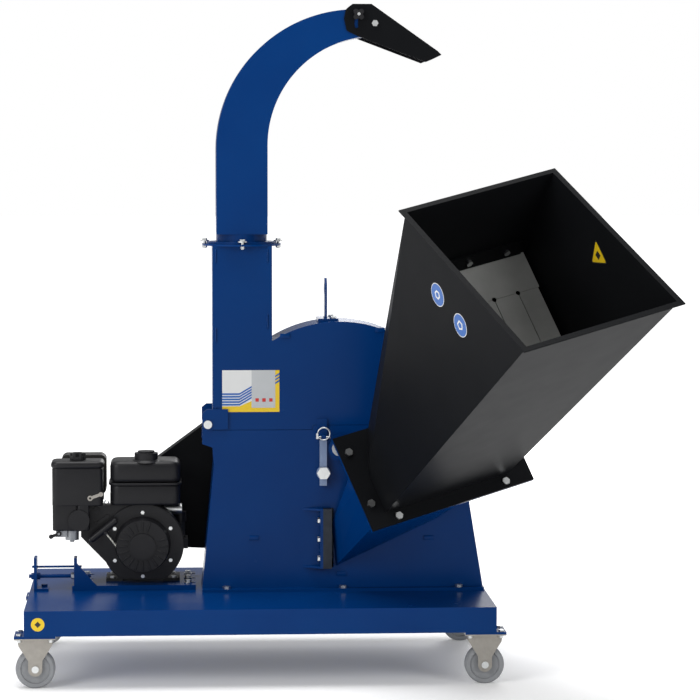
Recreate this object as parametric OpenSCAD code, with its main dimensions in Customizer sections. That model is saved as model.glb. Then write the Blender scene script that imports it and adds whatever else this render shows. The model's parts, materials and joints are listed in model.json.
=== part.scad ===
// Disc wood chipper on a wheeled deck: petrol engine, belt drive, tipping upper casing,
// swivelling discharge chute and a long slanted feed hopper.
// X runs to the right, Y to the rear and Z up. Places are measured from the deck's centre on the floor,
// and in_frame() moves the whole machine so that the origin is under the middle of its bounding box.

/* [Deck] */
// Length of the deck, left to right
deck_w = 1200; // [1100:1:1400]
// Depth of the deck, front to rear
deck_d = 700; // [640:1:850]
// Height of the folded rim
deck_rim = 65; // [50:1:90]
// Thickness of the deck sheet
deck_t = 4; // [3:0.5:6]
// Thickness of the corner plates that carry the casters
corner_t = 6; // [4:1:10]

/* [Casters] */
// Wheel diameter
wheel_d = 100; // [80:1:125]
// Wheel width
wheel_w = 32; // [24:1:40]
// Clear height between the wheel and the caster plate
fork_gap = 26; // [16:1:40]
// Length of the caster plate
caster_l = 105; // [90:1:120]
// Width of the caster plate
caster_w = 85; // [75:1:100]
// Hole spacing along the caster plate
caster_pitch_x = 80; // [66:1:90]
// Hole spacing across the caster plate
caster_pitch_y = 60; // [50:1:66]
// Distance from the deck's end to the wheel axle
caster_in_x = 27; // [20:1:60]
// Distance from the deck's front or rear to the middle of the wheel
caster_in_y = 45; // [43:1:80]
// Axle diameter
axle_d = 12; // [8:1:16]

/* [Casing] */
// Rotor axis to the right of the deck's centre
rotor_x = 214; // [150:1:250]
// Height of the rotor axis over the deck
rotor_h = 379; // [360:1:440]
// Outer radius of the drum
drum_r = 332; // [320:1:360]
// Thickness of the casing plates
plate_t = 6; // [4:0.5:8]
// Front face of the casing, from the deck's centre
casing_front = -60; // [-90:1:-40]
// Depth of the casing over both plates
casing_depth = 156; // [150:1:190]
// Height of the split between lower and upper casing over the rotor axis
split_h = 47; // [40:1:60]
// Width of the foot flange
foot_w = 25; // [20:1:40]
// Thickness of the foot flange
foot_t = 8; // [6:1:12]

/* [Tower and chute] */
// Width of the tower
tower_w = 156; // [140:1:180]
// Height of the tower's ring over the deck
tower_h = 914; // [820:1:1000]
// Radius of the ring flanges
ring_r = 104; // [102:1:125]
// Thickness of each ring flange
ring_t = 5; // [4:1:8]
// Width of the chute at its foot
duct_w = 134; // [110:1:140]
// Front to rear size of the chute
duct_d = 134; // [110:1:140]
// Wall of the chute
duct_t = 3; // [2:0.5:5]
// Height of the chute's straight part
duct_h = 246; // [200:1:300]
// Outer radius of the chute's bend
bend_r = 366; // [330:1:400]
// Height of the duct at its outlet
outlet_h = 66; // [60:1:80]

/* [Deflector] */
// Thickness of the deflector's sheet
flap_t = 3; // [2:0.5:4]
// Length of the deflector's sloping roof
flap_l = 212; // [150:1:260]
// Downward slope of the roof
flap_slope = 35; // [25:1:45]
// Distance from the pivot to the clamping stud
stud_r = 49; // [46:1:55]
// How far the deflector tips up
flap_up = 10; // [5:1:10]
// How far the deflector tips down
flap_down = 38; // [20:1:40]

/* [Feed] */
// Turn of the feed direction away from the front
feed_turn = 16.5; // [14:0.5:19]
// Rise of the feed direction
feed_rise = 28; // [25:0.5:31]
// Roll of the feed about its own direction
feed_roll = 14.5; // [11:0.5:17]
// Left front bottom corner of the feed flange
flange_at = [282, -354, 399];
// Width of the feed flange
flange_w = 484; // [470:1:500]
// Height of the feed flange
flange_h = 264; // [255:1:280]
// Thickness of each feed flange
flange_t = 6; // [4:0.5:8]
// Width of the throat
throat_w = 366; // [340:1:380]
// Height of the throat
throat_h = 219; // [200:1:222]
// Wall of the infeed box
feed_t = 4; // [3:0.5:6]
// Wall of the hopper
hopper_t = 2.5; // [2:0.5:4]
// Length of the hopper along the feed direction, to the lower edge of its mouth
hopper_l = 1059; // [900:1:1120]
// Width of the mouth over its lip
mouth_w = 437; // [400:1:520]
// Height of the mouth over its lip
mouth_h = 559; // [500:1:600]
// Backward lean of the mouth
mouth_lean = 27.5; // [15:0.5:35]
// Width of the mouth's lip
lip_w = 12; // [8:1:20]

/* [Rotor] */
// Radius of the rotor disc
disc_r = 300; // [280:1:305]
// Thickness of the rotor disc
disc_t = 16; // [12:1:20]
// Diameter of the rotor shaft
shaft_d = 40; // [30:1:45]
// Number of knives
knives = 2; // [2:1:4]
// Number of paddles
paddles = 4; // [2:1:6]
// Pitch radius of the rotor pulley
rotor_pulley_r = 100; // [85:1:110]
// Pitch radius of the engine pulley
engine_pulley_r = 50; // [42:1:55]

/* [Engine] */
// Crankshaft axis to the left of the rotor axis
engine_dx = 517; // [505:1:540]
// Height of the crankshaft over the engine's feet
crank_h = 106; // [106:1:112]
// Thickness of the sliding engine plate
engine_plate_t = 12; // [8:1:16]
// Foot bolts, left to right
engine_pitch_x = 162; // [155:1:170]
// Foot bolts, front to rear
engine_pitch_y = 75.5; // [70:0.5:80]
// Diameter of the crankshaft's output end
crank_d = 20; // [19:0.5:25]
// Travel of the engine plate for belt tension
tension_travel = 15; // [5:1:20]

/* [Fits] */
// Radial running clearance of a shaft in its bearing
run_fit = 0.05; // [0.02:0.01:0.08]
// Gap between pieces that move past each other
gap = 0.3; // [0.3:0.05:0.6]
// Radial clearance of a bolt in its hole
bolt_fit = 0.5; // [0.3:0.1:1]

/* [Hidden] */
$fn = 48;

blue = [0.02, 0.20, 0.46];
black = [0.10, 0.10, 0.11];
steel = [0.72, 0.73, 0.74];
zinc = [0.62, 0.61, 0.59];

// Levels of the deck
caster_h = wheel_d + 32;
deck_z = caster_h + corner_t;
top = deck_z + deck_rim;
caster_x = deck_w / 2 - caster_in_x;
caster_y = deck_d / 2 - caster_in_y;
caster_t = 3;

// Casing
back = casing_front + casing_depth;
mid_y = casing_front + casing_depth / 2;
axis_z = top + rotor_h;
split_z = axis_z + split_h;
split_gap = 1;
tower_x = rotor_x - drum_r;
tower_mid = tower_x + tower_w / 2;
ring_z = top + tower_h;
foot_h = axis_z - top;

// Hinge of the upper casing
hinge_x = tower_x - 13;
hinge_z = split_z + 16;
hinge_r = 8;
ear_r = 12.5;

// Chute
collar_h = 20;
ring2_z = ring_z + gap;
duct_z = ring2_z + ring_t + collar_h;
bend_z = ring_z + duct_h;
duct_x = tower_mid - duct_w / 2;
bend_x = duct_x + bend_r;
pivot_x = bend_x + 48;
pivot_z = bend_z + sqrt(pow(bend_r, 2) - pow(48, 2)) - outlet_h / 2;
inner_r = (duct_x + duct_w - pivot_x - 5) * -1;
inner_x = pivot_x + 5;
inner_z = pivot_z - outlet_h / 2 - inner_r;
outlet_x = pivot_x + 10;
stud_a = 152;
duct_front = mid_y - duct_d / 2;
duct_back = mid_y + duct_d / 2;

// Feed: directions of the flange frame, and points given in it
function turned(p) =
    let (a = [p[0] * cos(feed_roll) - p[1] * sin(feed_roll), p[0] * sin(feed_roll) + p[1] * cos(feed_roll),
        p[2]],
         b = [a[0], a[1] * sin(feed_rise) - a[2] * cos(feed_rise), a[1] * cos(feed_rise)
             + a[2] * sin(feed_rise)])
    [b[0] * cos(feed_turn) - b[1] * sin(feed_turn), b[0] * sin(feed_turn) + b[1] * cos(feed_turn), b[2]];
function feed_point(p) = flange_at + turned(p);
throat_u = 53;
throat_v = 36;
mouth_u = throat_u + (throat_w - mouth_w) / 2;
mouth_v = 26;
function mouth_point(u, v, n) = feed_point([
    mouth_u + u, mouth_v + v * cos(mouth_lean) + n * sin(mouth_lean),
    hopper_l - v * sin(mouth_lean) + n * cos(mouth_lean)]);
throat = [
    [throat_u, throat_v], [throat_u + throat_w, throat_v], [throat_u + throat_w, throat_v + throat_h],
    [throat_u + 46, throat_v + throat_h], [throat_u, throat_v + 112]
];
mouth = [[0, 0], [mouth_w, 0], [mouth_w, mouth_h], [0, mouth_h]];
casing_mouth = [
    [rotor_x - 8, axis_z - 314], [rotor_x + 256, axis_z - 190], [rotor_x + 288, axis_z - 90],
    [rotor_x + 200, axis_z - 40], [rotor_x + 16, axis_z - 104], [rotor_x - 19, axis_z - 200]
];
// A convex outline, counter-clockwise, moved inwards by d
function edge(p, i) = p[(i + 1) % len(p)] - p[i];
function normal_in(e) = [-e[1], e[0]] / norm(e);
function inset(p, d) = [
    for (i = [0:len(p) - 1])
        let (e0 = edge(p, (i + len(p) - 1) % len(p)), e1 = edge(p, i), n0 = normal_in(e0), n1 =
            normal_in(e1),
             a = p[i] + d * n0, b = p[i] + d * n1, k = ((b - a)[0] * e1[1] - (b - a)[1] * e1[0])
                 / (e0[0] * e1[1] - e0[1] * e1[0]))
        a + k * e0
];

// Origin under the middle of the bounding box
lip_t = 3;
corners = [for (u = [0, mouth_w], n = [0, lip_t]) mouth_point(u, 0, n)];
x_low = -caster_x - caster_l / 2;
x_high = max([for (c = corners) c[0]]);
y_low = min([for (c = corners) c[1]]);
y_high = deck_d / 2;

// Rotor
knife_h = 10;
anvil_gap = 3;
disc_y = casing_front + plate_t + 34;
pulley_y = back + 76;
pulley_w = 44;
shaft_y0 = casing_front - 28;
shaft_y1 = pulley_y + pulley_w + 4;
bore_r = shaft_d / 2 + run_fit;
belt_w = 11;
belt_t = 8;
belt_pitch = 19;

// Engine
crank_x = rotor_x - engine_dx;
plate_z = top + gap;
engine_z = plate_z + engine_plate_t;
crank_z = engine_z + crank_h;
pto_y = pulley_y - 14;
plate_x0 = crank_x - 186;
plate_x1 = crank_x + 140;
plate_y0 = casing_front + 30;
plate_y1 = plate_y0 + 230;
foot_y = (pto_y - 37 - engine_pitch_y / 2) + 4;
blower_y = pto_y - 158;
ear_y = plate_y0 + 22;
screw_z = top + 36;
guard_t = 3;
guard_y = pto_y + 2;
cover_y = shaft_y1 + 8;

module in_frame() {
    translate([-(x_low + x_high) / 2, -(y_low + y_high) / 2, 0]) children();
}
// A cylinder along Y from y0 to y1
module rod_y(x, y0, y1, z, r) {
    translate([x, y0, z]) rotate([-90, 0, 0]) cylinder(r = r, h = y1 - y0);
}
// A cylinder along X from x0 to x1
module rod_x(x0, x1, y, z, r) {
    translate([x0, y, z]) rotate([0, 90, 0]) cylinder(r = r, h = x1 - x0);
}
// An outline in X and Z, as thick as y1 - y0
module slab_y(y0, y1) {
    translate([0, y1, 0]) rotate([90, 0, 0]) linear_extrude(y1 - y0) children();
}
// Hexagon bolt along Z: the head stands on z = 0, the shank goes down by grip, the nut sits under it
module hex_bolt(d, grip, nut = true) {
    cylinder(r = d * 0.87, h = d * 0.6, $fn = 6);
    translate([0, 0, -grip - (nut ? d : 0)]) cylinder(r = d / 2, h = grip + (nut ? d : 0) + 1);
    if (nut) translate([0, 0, -grip - d * 0.8]) cylinder(r = d * 0.87, h = d * 0.8, $fn = 6);
}
// The same bolt with its head towards the viewer, along -Y
module bolt_y(x, y, z, d, grip, nut = true) {
    translate([x, y, z]) rotate([90, 0, 0]) hex_bolt(d, grip, nut);
}
module at_flange() {
    translate(flange_at) rotate([0, 0, feed_turn]) rotate([90 - feed_rise, 0, 0]) rotate([0, 0, feed_roll])
        children();
}
module at_mouth() {
    at_flange() translate([mouth_u, mouth_v, hopper_l]) rotate([-mouth_lean, 0, 0]) children();
}

// ---- Deck and casters ----
foot_bolt_x = [rotor_x - 297, rotor_x + 10, rotor_x + 317];
foot_bolt_y = [casing_front - foot_w / 2 - 1, back + foot_w / 2 + 1];
slot_y = [plate_y0 + 38, plate_y0 + 115, plate_y0 + 192];
slot_x = [plate_x0 + 34, plate_x1 - 20];
bolt_d = 12;

module at_casters() {
    for (x = [-caster_x, caster_x], y = [-caster_y, caster_y]) translate([x, y, 0]) children();
}
module at_caster_holes() {
    for (x = [-1, 1], y = [-1, 1]) translate([x * caster_pitch_x / 2, y * caster_pitch_y / 2, 0])
        children();
}
module deck() color(blue) {
    difference() {
        union() {
            difference() {
                translate([-deck_w / 2, -deck_d / 2, deck_z]) cube([deck_w, deck_d, deck_rim]);
                translate([-deck_w / 2 + deck_t, -deck_d / 2 + deck_t, deck_z - 1])
                    cube([deck_w - 2 * deck_t, deck_d - 2 * deck_t, deck_rim - deck_t + 1]);
            }
            for (x = [-150, 60, 330], d = [0, 36])
                translate([x + d, -deck_d / 2 + deck_t, deck_z + 5]) cube([4, deck_d - 2 * deck_t,
                    deck_rim - deck_t - 5]);
            at_casters() translate([-caster_l / 2, -caster_w / 2, caster_h])
                cube([caster_l, caster_w, corner_t]);
        }
        for (x = foot_bolt_x, y = foot_bolt_y)
            translate([x, y, deck_z - 1]) cylinder(r = bolt_d / 2 + bolt_fit, h = deck_rim + 2);
        for (x = slot_x, y = slot_y)
            translate([x, y, deck_z - 1]) cylinder(r = 5 + bolt_fit, h = deck_rim + 2);
        at_casters() at_caster_holes() translate([0, 0, caster_h - 1]) cylinder(r = 4 + bolt_fit, h =
            corner_t + 2);
    }
}
module caster_forks() color(zinc) at_casters() {
    side_y = wheel_w / 2 + 3;
    side_t = 3;
    difference() {
        union() {
            translate([-caster_l / 2, -caster_w / 2, caster_h - caster_t])
                cube([caster_l, caster_w, caster_t]);
            for (y = [-side_y - side_t, side_y]) slab_y(y, y + side_t) {
                polygon([[-46, caster_h - caster_t], [-42, caster_h - 22], [-18, wheel_d / 2 + 22],
                    [-18, wheel_d / 2],
                         [18, wheel_d / 2], [18, wheel_d / 2 + 22], [42, caster_h - 22],
                             [46, caster_h - caster_t]]);
                translate([0, wheel_d / 2]) circle(r = 18);
            }
        }
        at_caster_holes() translate([0, 0, caster_h - caster_t - 1]) cylinder(r = 4 + bolt_fit, h =
            caster_t + 2);
        rod_y(0, -caster_w, caster_w, wheel_d / 2, axle_d / 2 + 0.1);
    }
}
module caster_hardware() color(steel) at_casters() {
    reach = wheel_w / 2 + 6;
    translate([0, 0, wheel_d / 2]) {
        rod_y(0, -reach, reach, 0, axle_d / 2);
        rod_y(0, -reach - 3, -reach, 0, 9);
        rod_y(0, reach, reach + 6, 0, 9);
    }
    at_caster_holes() translate([0, 0, caster_h + corner_t]) hex_bolt(8, corner_t + caster_t);
}
module wheel(x, y) color([0.42, 0.42, 0.42]) translate([x, y, wheel_d / 2]) rotate([-90, 0, 0]) {
    rotate_extrude($fn = 64) polygon([
        [axle_d / 2 + run_fit, -wheel_w / 2 - 2], [16, -wheel_w / 2 - 2], [18, -wheel_w / 2 + 4],
            [36, -wheel_w / 2 + 4],
        [38, -wheel_w / 2], [wheel_d / 2 - 4, -wheel_w / 2], [wheel_d / 2, -wheel_w / 2 + 5], [wheel_d / 2,
            wheel_w / 2 - 5],
        [wheel_d / 2 - 4, wheel_w / 2], [38, wheel_w / 2], [36, wheel_w / 2 - 4], [18, wheel_w / 2 - 4],
        [16, wheel_w / 2 + 2], [axle_d / 2 + run_fit, wheel_w / 2 + 2]]);
}
module wheel_front_left() wheel(-caster_x, -caster_y);
module wheel_front_right() wheel(caster_x, -caster_y);
module wheel_rear_left() wheel(-caster_x, caster_y);
module wheel_rear_right() wheel(caster_x, caster_y);

// ---- Casing ----
// Outline of the drum and its flared foot
module casing_outline() {
    translate([rotor_x, axis_z]) circle(r = drum_r, $fn = 96);
    polygon([[tower_x - 29, top], [tower_x + 3, axis_z - 44], [tower_x + 6, axis_z],
             [rotor_x + drum_r - 8, axis_z], [rotor_x + drum_r + 14, axis_z - 154], [rotor_x + drum_r + 51,
                 top]]);
}
module lower_half() {
    polygon([[-900, 0], [1200, 0], [1200, split_z + 12], [rotor_x - 69, split_z + 12],
             [rotor_x - 69, split_z], [-900, split_z]]);
}
module upper_half() {
    polygon([[-900, split_z + split_gap], [rotor_x - 69 - split_gap, split_z + split_gap],
             [rotor_x - 69 - split_gap, split_z + 12 + split_gap], [1200, split_z + 12 + split_gap],
             [1200, 3000], [-900, 3000]]);
}
hub_r = 30;
module lower_plate(infeed) difference() {
    union() {
        intersection() {
            casing_outline();
            lower_half();
        }
        difference() {
            union() {
                polygon([[tower_x - 28, split_z - 36], [tower_x + 12, split_z - 50], [tower_x + 12,
                    split_z],
                         [hinge_x + ear_r, split_z], [hinge_x + ear_r, hinge_z], [hinge_x - ear_r,
                             hinge_z]]);
                translate([hinge_x, hinge_z]) circle(r = ear_r);
            }
            translate([hinge_x, hinge_z]) circle(r = hinge_r + run_fit);
        }
    }
    translate([rotor_x, axis_z]) circle(r = hub_r);
    if (infeed) polygon(inset(casing_mouth, feed_t));
}
module lower_casing() color(blue) difference() {
    union() {
        slab_y(casing_front, casing_front + plate_t) lower_plate(true);
        slab_y(back - plate_t, back) lower_plate(false);
        slab_y(casing_front + plate_t, back - plate_t) intersection() {
            difference() {
                translate([rotor_x, axis_z]) circle(r = drum_r, $fn = 96);
                translate([rotor_x, axis_z]) circle(r = drum_r - plate_t, $fn = 96);
            }
            lower_half();
        }
        for (y = [casing_front - foot_w, back - plate_t])
            translate([tower_x - 29, y, top]) cube([2 * drum_r + 80, foot_w + plate_t, foot_t]);
        // side gussets between the plates
        for (s = [0, 1]) slab_y(casing_front + plate_t, back - plate_t) polygon(s == 0
            ? [[tower_x - 29, top], [tower_x + 3, axis_z - 44], [tower_x + 6, axis_z - 44], [tower_x - 23,
                top]]
            : [[rotor_x + drum_r + 51, top], [rotor_x + drum_r + 14, axis_z - 154], [rotor_x + drum_r + 11,
                axis_z - 154],
               [rotor_x + drum_r + 45, top]]);
        // anvil bracket
        translate([anvil_x - anvil_plate, casing_front - anvil_out, anvil_z]) cube([anvil_plate, anvil_out,
            anvil_h]);
        for (z = [anvil_z, anvil_z + anvil_h - 5])
            translate([anvil_x - anvil_plate, casing_front, z]) linear_extrude(5)
                polygon([[1, 0], [1, 1 - anvil_out], [0, 1 - anvil_out], [-44, 0]]);
    }
    translate([anvil_x - gap, casing_front - 1, anvil_z - gap]) cube([anvil_w + 6, plate_t + 2,
        anvil_h + 2 * gap]);
    for (x = foot_bolt_x, y = foot_bolt_y)
        translate([x, y, top - 1]) cylinder(r = bolt_d / 2 + bolt_fit, h = foot_t + 2);
    for (z = anvil_bolt_z) rod_x(anvil_x - 40, anvil_x + 1, casing_front - anvil_out / 2, z, 5 + bolt_fit);
    rod_y(latch_x, casing_front - 1, casing_front + plate_t + 1, latch_z, 10 + bolt_fit);
    for (p = standoffs) rod_y(p[0], back - plate_t - 1, back + 1, p[1], 5 + bolt_fit);
}
anvil_x = rotor_x - 43;
anvil_w = 23;
anvil_plate = 8;
anvil_out = 26;
anvil_h = 158;
anvil_z = axis_z - 318;
anvil_bolt_z = [axis_z - 293, axis_z - 242, axis_z - 192];
latch_x = rotor_x - 42;
latch_z = axis_z - 65;
latch_out = 18;
standoffs = [[tower_x + 30, axis_z + 10], [tower_x + 30, axis_z - 162], [rotor_x + 130, axis_z - 22],
    [rotor_x - 94, axis_z - 182]];

// Counter knife, clamped in its bracket and reaching through the front plate to the disc
module anvil_knife() color(steel) {
    inner = disc_y - knife_h - anvil_gap;
    difference() {
        translate([anvil_x, casing_front - anvil_out, anvil_z])
            cube([anvil_w, inner - casing_front + anvil_out, anvil_h]);
        for (z = anvil_bolt_z) rod_x(anvil_x - 1, anvil_x + 16, casing_front - anvil_out / 2, z, 5);
    }
}
module bearing_housings() color(black) for (s = [-1, 1]) difference() {
    y = s < 0 ? casing_front : back;
    union() {
        rod_y(rotor_x, min(y, y + s * 8), max(y, y + s * 8), axis_z, 36);
        rod_y(rotor_x, min(y, y + s * 24), max(y, y + s * 24), axis_z, 29);
    }
    rod_y(rotor_x, y - 30, y + 30, axis_z, bore_r);
}
module frame_bolts() color(steel) {
    for (x = foot_bolt_x, y = foot_bolt_y)
        translate([x, y, top + foot_t]) hex_bolt(bolt_d, foot_t + deck_t);
    for (x = slot_x, y = slot_y)
        translate([x, y, engine_z + 2.5]) {
            translate([0, 0, -2]) cylinder(r = 11, h = 2);
            hex_bolt(10, engine_plate_t + deck_t + gap + 2.5);
        }
    // latch pivot with its spacer
    bolt_y(latch_x, casing_front - latch_out - gap, latch_z, 20, latch_out + gap + plate_t);
    rod_y(latch_x, casing_front - 10 + gap, casing_front, latch_z, 14);
    for (p = standoffs) {
        rod_y(p[0], back, guard_y, p[1], 9);
        bolt_y(p[0], back - plate_t, p[1], 10, cover_y - back + plate_t);
    }
}

// ---- Feed ----
flange_bolts = [[throat_u + 29, 17], [throat_u + throat_w - 15, 17], [24, flange_h - 48], [24, 70],
                [flange_w - 24, 70], [flange_w - 24, flange_h - 48]];
module flange_plate(z) at_flange() translate([0, 0, z]) linear_extrude(flange_t) difference() {
    square([flange_w, flange_h]);
    for (p = flange_bolts) translate(p) circle(r = 6 + bolt_fit);
}
module infeed_box() color(blue) difference() {
    union() {
        flange_plate(-flange_t);
        hull() {
            slab_y(casing_front - 1, casing_front) polygon(casing_mouth);
            at_flange() translate([0, 0, -flange_t - 1]) linear_extrude(3) polygon(throat);
        }
    }
    hull() {
        slab_y(casing_front - 1, casing_front + 1) polygon(inset(casing_mouth, feed_t));
        at_flange() translate([0, 0, -flange_t - 1]) linear_extrude(flange_t + 2)
            polygon(inset(throat, feed_t));
    }
}
module hopper() color(black) difference() {
    union() {
        flange_plate(0);
        hull() {
            at_flange() translate([0, 0, flange_t - 2]) linear_extrude(3) polygon(throat);
            at_mouth() translate([0, 0, -1]) linear_extrude(2) polygon(inset(mouth, lip_w));
        }
        at_mouth() linear_extrude(lip_t) polygon(mouth);
    }
    hull() {
        at_flange() translate([0, 0, -1]) linear_extrude(flange_t + 2) polygon(inset(throat, hopper_t));
        at_mouth() translate([0, 0, -1]) linear_extrude(lip_t + 2) polygon(inset(mouth, lip_w + hopper_t));
    }
    at_clamp() for (u = clamp_bolt_u) translate([u, -5, 0]) rotate([-90, 0, 0]) cylinder(r = 5 + bolt_fit,
        h = 16);
}
clamp_n = 574;
curtain_t = 3;
strip_h = 46;
// Height of the hopper's upper wall, inside, at distance n from the flange
function roof_v(n) = let (m = mouth_v + (mouth_h - lip_w) * cos(mouth_lean), mn =
    hopper_l - (mouth_h - lip_w) * sin(mouth_lean))
    throat_v + throat_h + (m - throat_v - throat_h) * (n - flange_t) / (mn - flange_t);
roof_a = atan2(roof_v(clamp_n + 50) - roof_v(clamp_n - 50), 100);
module at_clamp() {
    at_flange() translate([throat_u, roof_v(clamp_n) - hopper_t / cos(roof_a), clamp_n])
        rotate([-roof_a, 0, 0]) children();
}
module infeed_bolts() color(steel) {
    at_flange() for (p = flange_bolts) translate([p[0], p[1], flange_t]) hex_bolt(12, 2 * flange_t);
    for (z = anvil_bolt_z) translate([anvil_x - anvil_plate, casing_front - anvil_out / 2, z])
        rotate([0, -90, 0]) hex_bolt(10, anvil_plate + 14, false);
    at_clamp() for (u = clamp_bolt_u) translate([u, -6, 0]) rotate([90, 0, 0]) hex_bolt(10, 6.5 + hopper_t);
}
clamp_bolt_u = [97, 205, 313];
clamp_u = [6, 360];
module curtain_clamp() color(black) at_clamp() difference() {
    translate([clamp_u[0], -6, -strip_h / 2]) cube([clamp_u[1] - clamp_u[0], 6, strip_h]);
    for (u = clamp_bolt_u) translate([u, -7, 0]) rotate([-90, 0, 0]) cylinder(r = 5 + bolt_fit, h = 8);
}
// Rubber curtain: a fixed upper part, and tongues that swing from the line of the slit holes
curtain_n = clamp_n - 26;
tongue_v = 327;
slits = [throat_u + 240, throat_u + 309];
curtain_u = [throat_u - 1, throat_u + throat_w + 1];
tongue_gap = 0.9;
module slit_holes() for (u = slits) translate([u, tongue_v]) circle(r = 6);
module curtain() color([0.72, 0.72, 0.70]) at_flange() translate([0, 0, curtain_n])
    linear_extrude(curtain_t) difference() {
    top_v = roof_v(curtain_n) - hopper_t / cos(roof_a) - gap;
    polygon([[curtain_u[0] - 4, tongue_v + tongue_gap / 2], [curtain_u[1] + 4, tongue_v + tongue_gap / 2],
             [curtain_u[1] + 4, top_v], [curtain_u[0] + 20, top_v], [curtain_u[0] - 4, top_v - 62]]);
    slit_holes();
}
module tongue(u0, u1) color([0.72, 0.72, 0.70]) at_flange() translate([0, 0, curtain_n])
    linear_extrude(curtain_t) difference() {
    polygon([[u0, throat_v + 10], [u1, throat_v + 10], [u1, tongue_v - tongue_gap / 2],
        [u0, tongue_v - tongue_gap / 2]]);
    slit_holes();
}
module curtain_tongue_left() tongue(curtain_u[0], slits[0] - 1);
module curtain_tongue_middle() tongue(slits[0] + 1, slits[1] - 1);
module curtain_tongue_right() tongue(slits[1] + 1, curtain_u[1]);

// ---- Rotor ----
module rotor_shaft() color(steel) difference() {
    rod_y(rotor_x, shaft_y0, shaft_y1, axis_z, shaft_d / 2);
    rod_y(rotor_x, shaft_y1 - 12, shaft_y1 + 1, axis_z, 5);
}
module at_knives() {
    for (i = [0:knives - 1]) translate([rotor_x, 0, axis_z]) rotate([0, i * 360 / knives, 0]) children();
}
knife_x = [72, 290];
module rotor_disc() color(blue) difference() {
    union() {
        rod_y(rotor_x, disc_y, disc_y + disc_t, axis_z, disc_r);
        rod_y(rotor_x, disc_y + 2, back - plate_t - 30, axis_z, 44);
        for (i = [0:paddles - 1]) translate([rotor_x, 0, axis_z]) rotate([0, 45 + i * 360 / paddles, 0])
            translate([120, disc_y + disc_t - 2, -4]) cube([disc_r - 124, 76, 8]);
    }
    rod_y(rotor_x, disc_y - 1, back, axis_z, bore_r);
    at_knives() translate([knife_x[0] + 6, disc_y - 1, 24]) cube([knife_x[1] - knife_x[0] - 24, disc_t + 2,
        30]);
    at_knives() for (x = [105, 180, 255]) rod_y(x, disc_y - 1, disc_y + disc_t + 1, -14, 6 + bolt_fit);
}
module rotor_knives() color(steel) at_knives() difference() {
    translate([knife_x[0], disc_y - knife_h, -40]) cube([knife_x[1] - knife_x[0], knife_h, 62]);
    for (x = [105, 180, 255]) rod_y(x, disc_y - knife_h + 3, disc_y + 1, -14, 6);
}
module knife_bolts() color(zinc) at_knives() for (x = [105, 180, 255])
    translate([x, disc_y + disc_t, -14]) rotate([-90, 0, 0]) hex_bolt(12, disc_t + 6, false);
module pulley(x, z, r, bore) difference() {
    translate([x, pulley_y, z]) rotate([-90, 0, 0]) rotate_extrude($fn = 64) {
        w = belt_w / 2 + gap;
        low = r - belt_t / 2 - gap;
        mid = pulley_w / 2;
        rim = r + belt_t / 2 + 2;
        polygon([[bore, 0], [rim, 0], [rim, mid - belt_pitch / 2 - w], [low, mid - belt_pitch / 2 - w],
                 [low, mid - belt_pitch / 2 + w], [rim, mid - belt_pitch / 2 + w],
                     [rim, mid + belt_pitch / 2 - w],
                 [low, mid + belt_pitch / 2 - w], [low, mid + belt_pitch / 2 + w],
                     [rim, mid + belt_pitch / 2 + w],
                 [rim, pulley_w], [bore, pulley_w]]);
    }
    if (r > 70) for (a = [30:60:330]) rod_y(x + r * 0.62 * cos(a), pulley_y - 1, pulley_y + pulley_w + 1,
        z + r * 0.62 * sin(a), r * 0.17);
}
module rotor_pulley() color(black) pulley(rotor_x, axis_z, rotor_pulley_r, bore_r);
module engine_pulley() color(black) pulley(crank_x, crank_z, engine_pulley_r, crank_d / 2 + run_fit);

// Outline around both pulleys, d outside their pitch circles
belt_angle = atan2(axis_z - crank_z, rotor_x - crank_x);
module belt_outline(d) {
    c0 = [rotor_x, axis_z];
    c1 = [crank_x, crank_z];
    b = acos((rotor_pulley_r - engine_pulley_r) / norm(c0 - c1));
    translate(c0) circle(r = rotor_pulley_r + d);
    translate(c1) circle(r = engine_pulley_r + d);
    polygon([for (p = [[c0, rotor_pulley_r, b], [c1, engine_pulley_r, b], [c1, engine_pulley_r, -b],
        [c0, rotor_pulley_r, -b]])
        p[0] + (p[1] + d) * [cos(belt_angle + p[2]), sin(belt_angle + p[2])]]);
}
module belts() color([0.08, 0.08, 0.08]) for (s = [-1, 1]) {
    y = pulley_y + pulley_w / 2 + s * belt_pitch / 2;
    slab_y(y - belt_w / 2, y + belt_w / 2) difference() {
        belt_outline(belt_t / 2);
        belt_outline(-belt_t / 2);
    }
}

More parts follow.
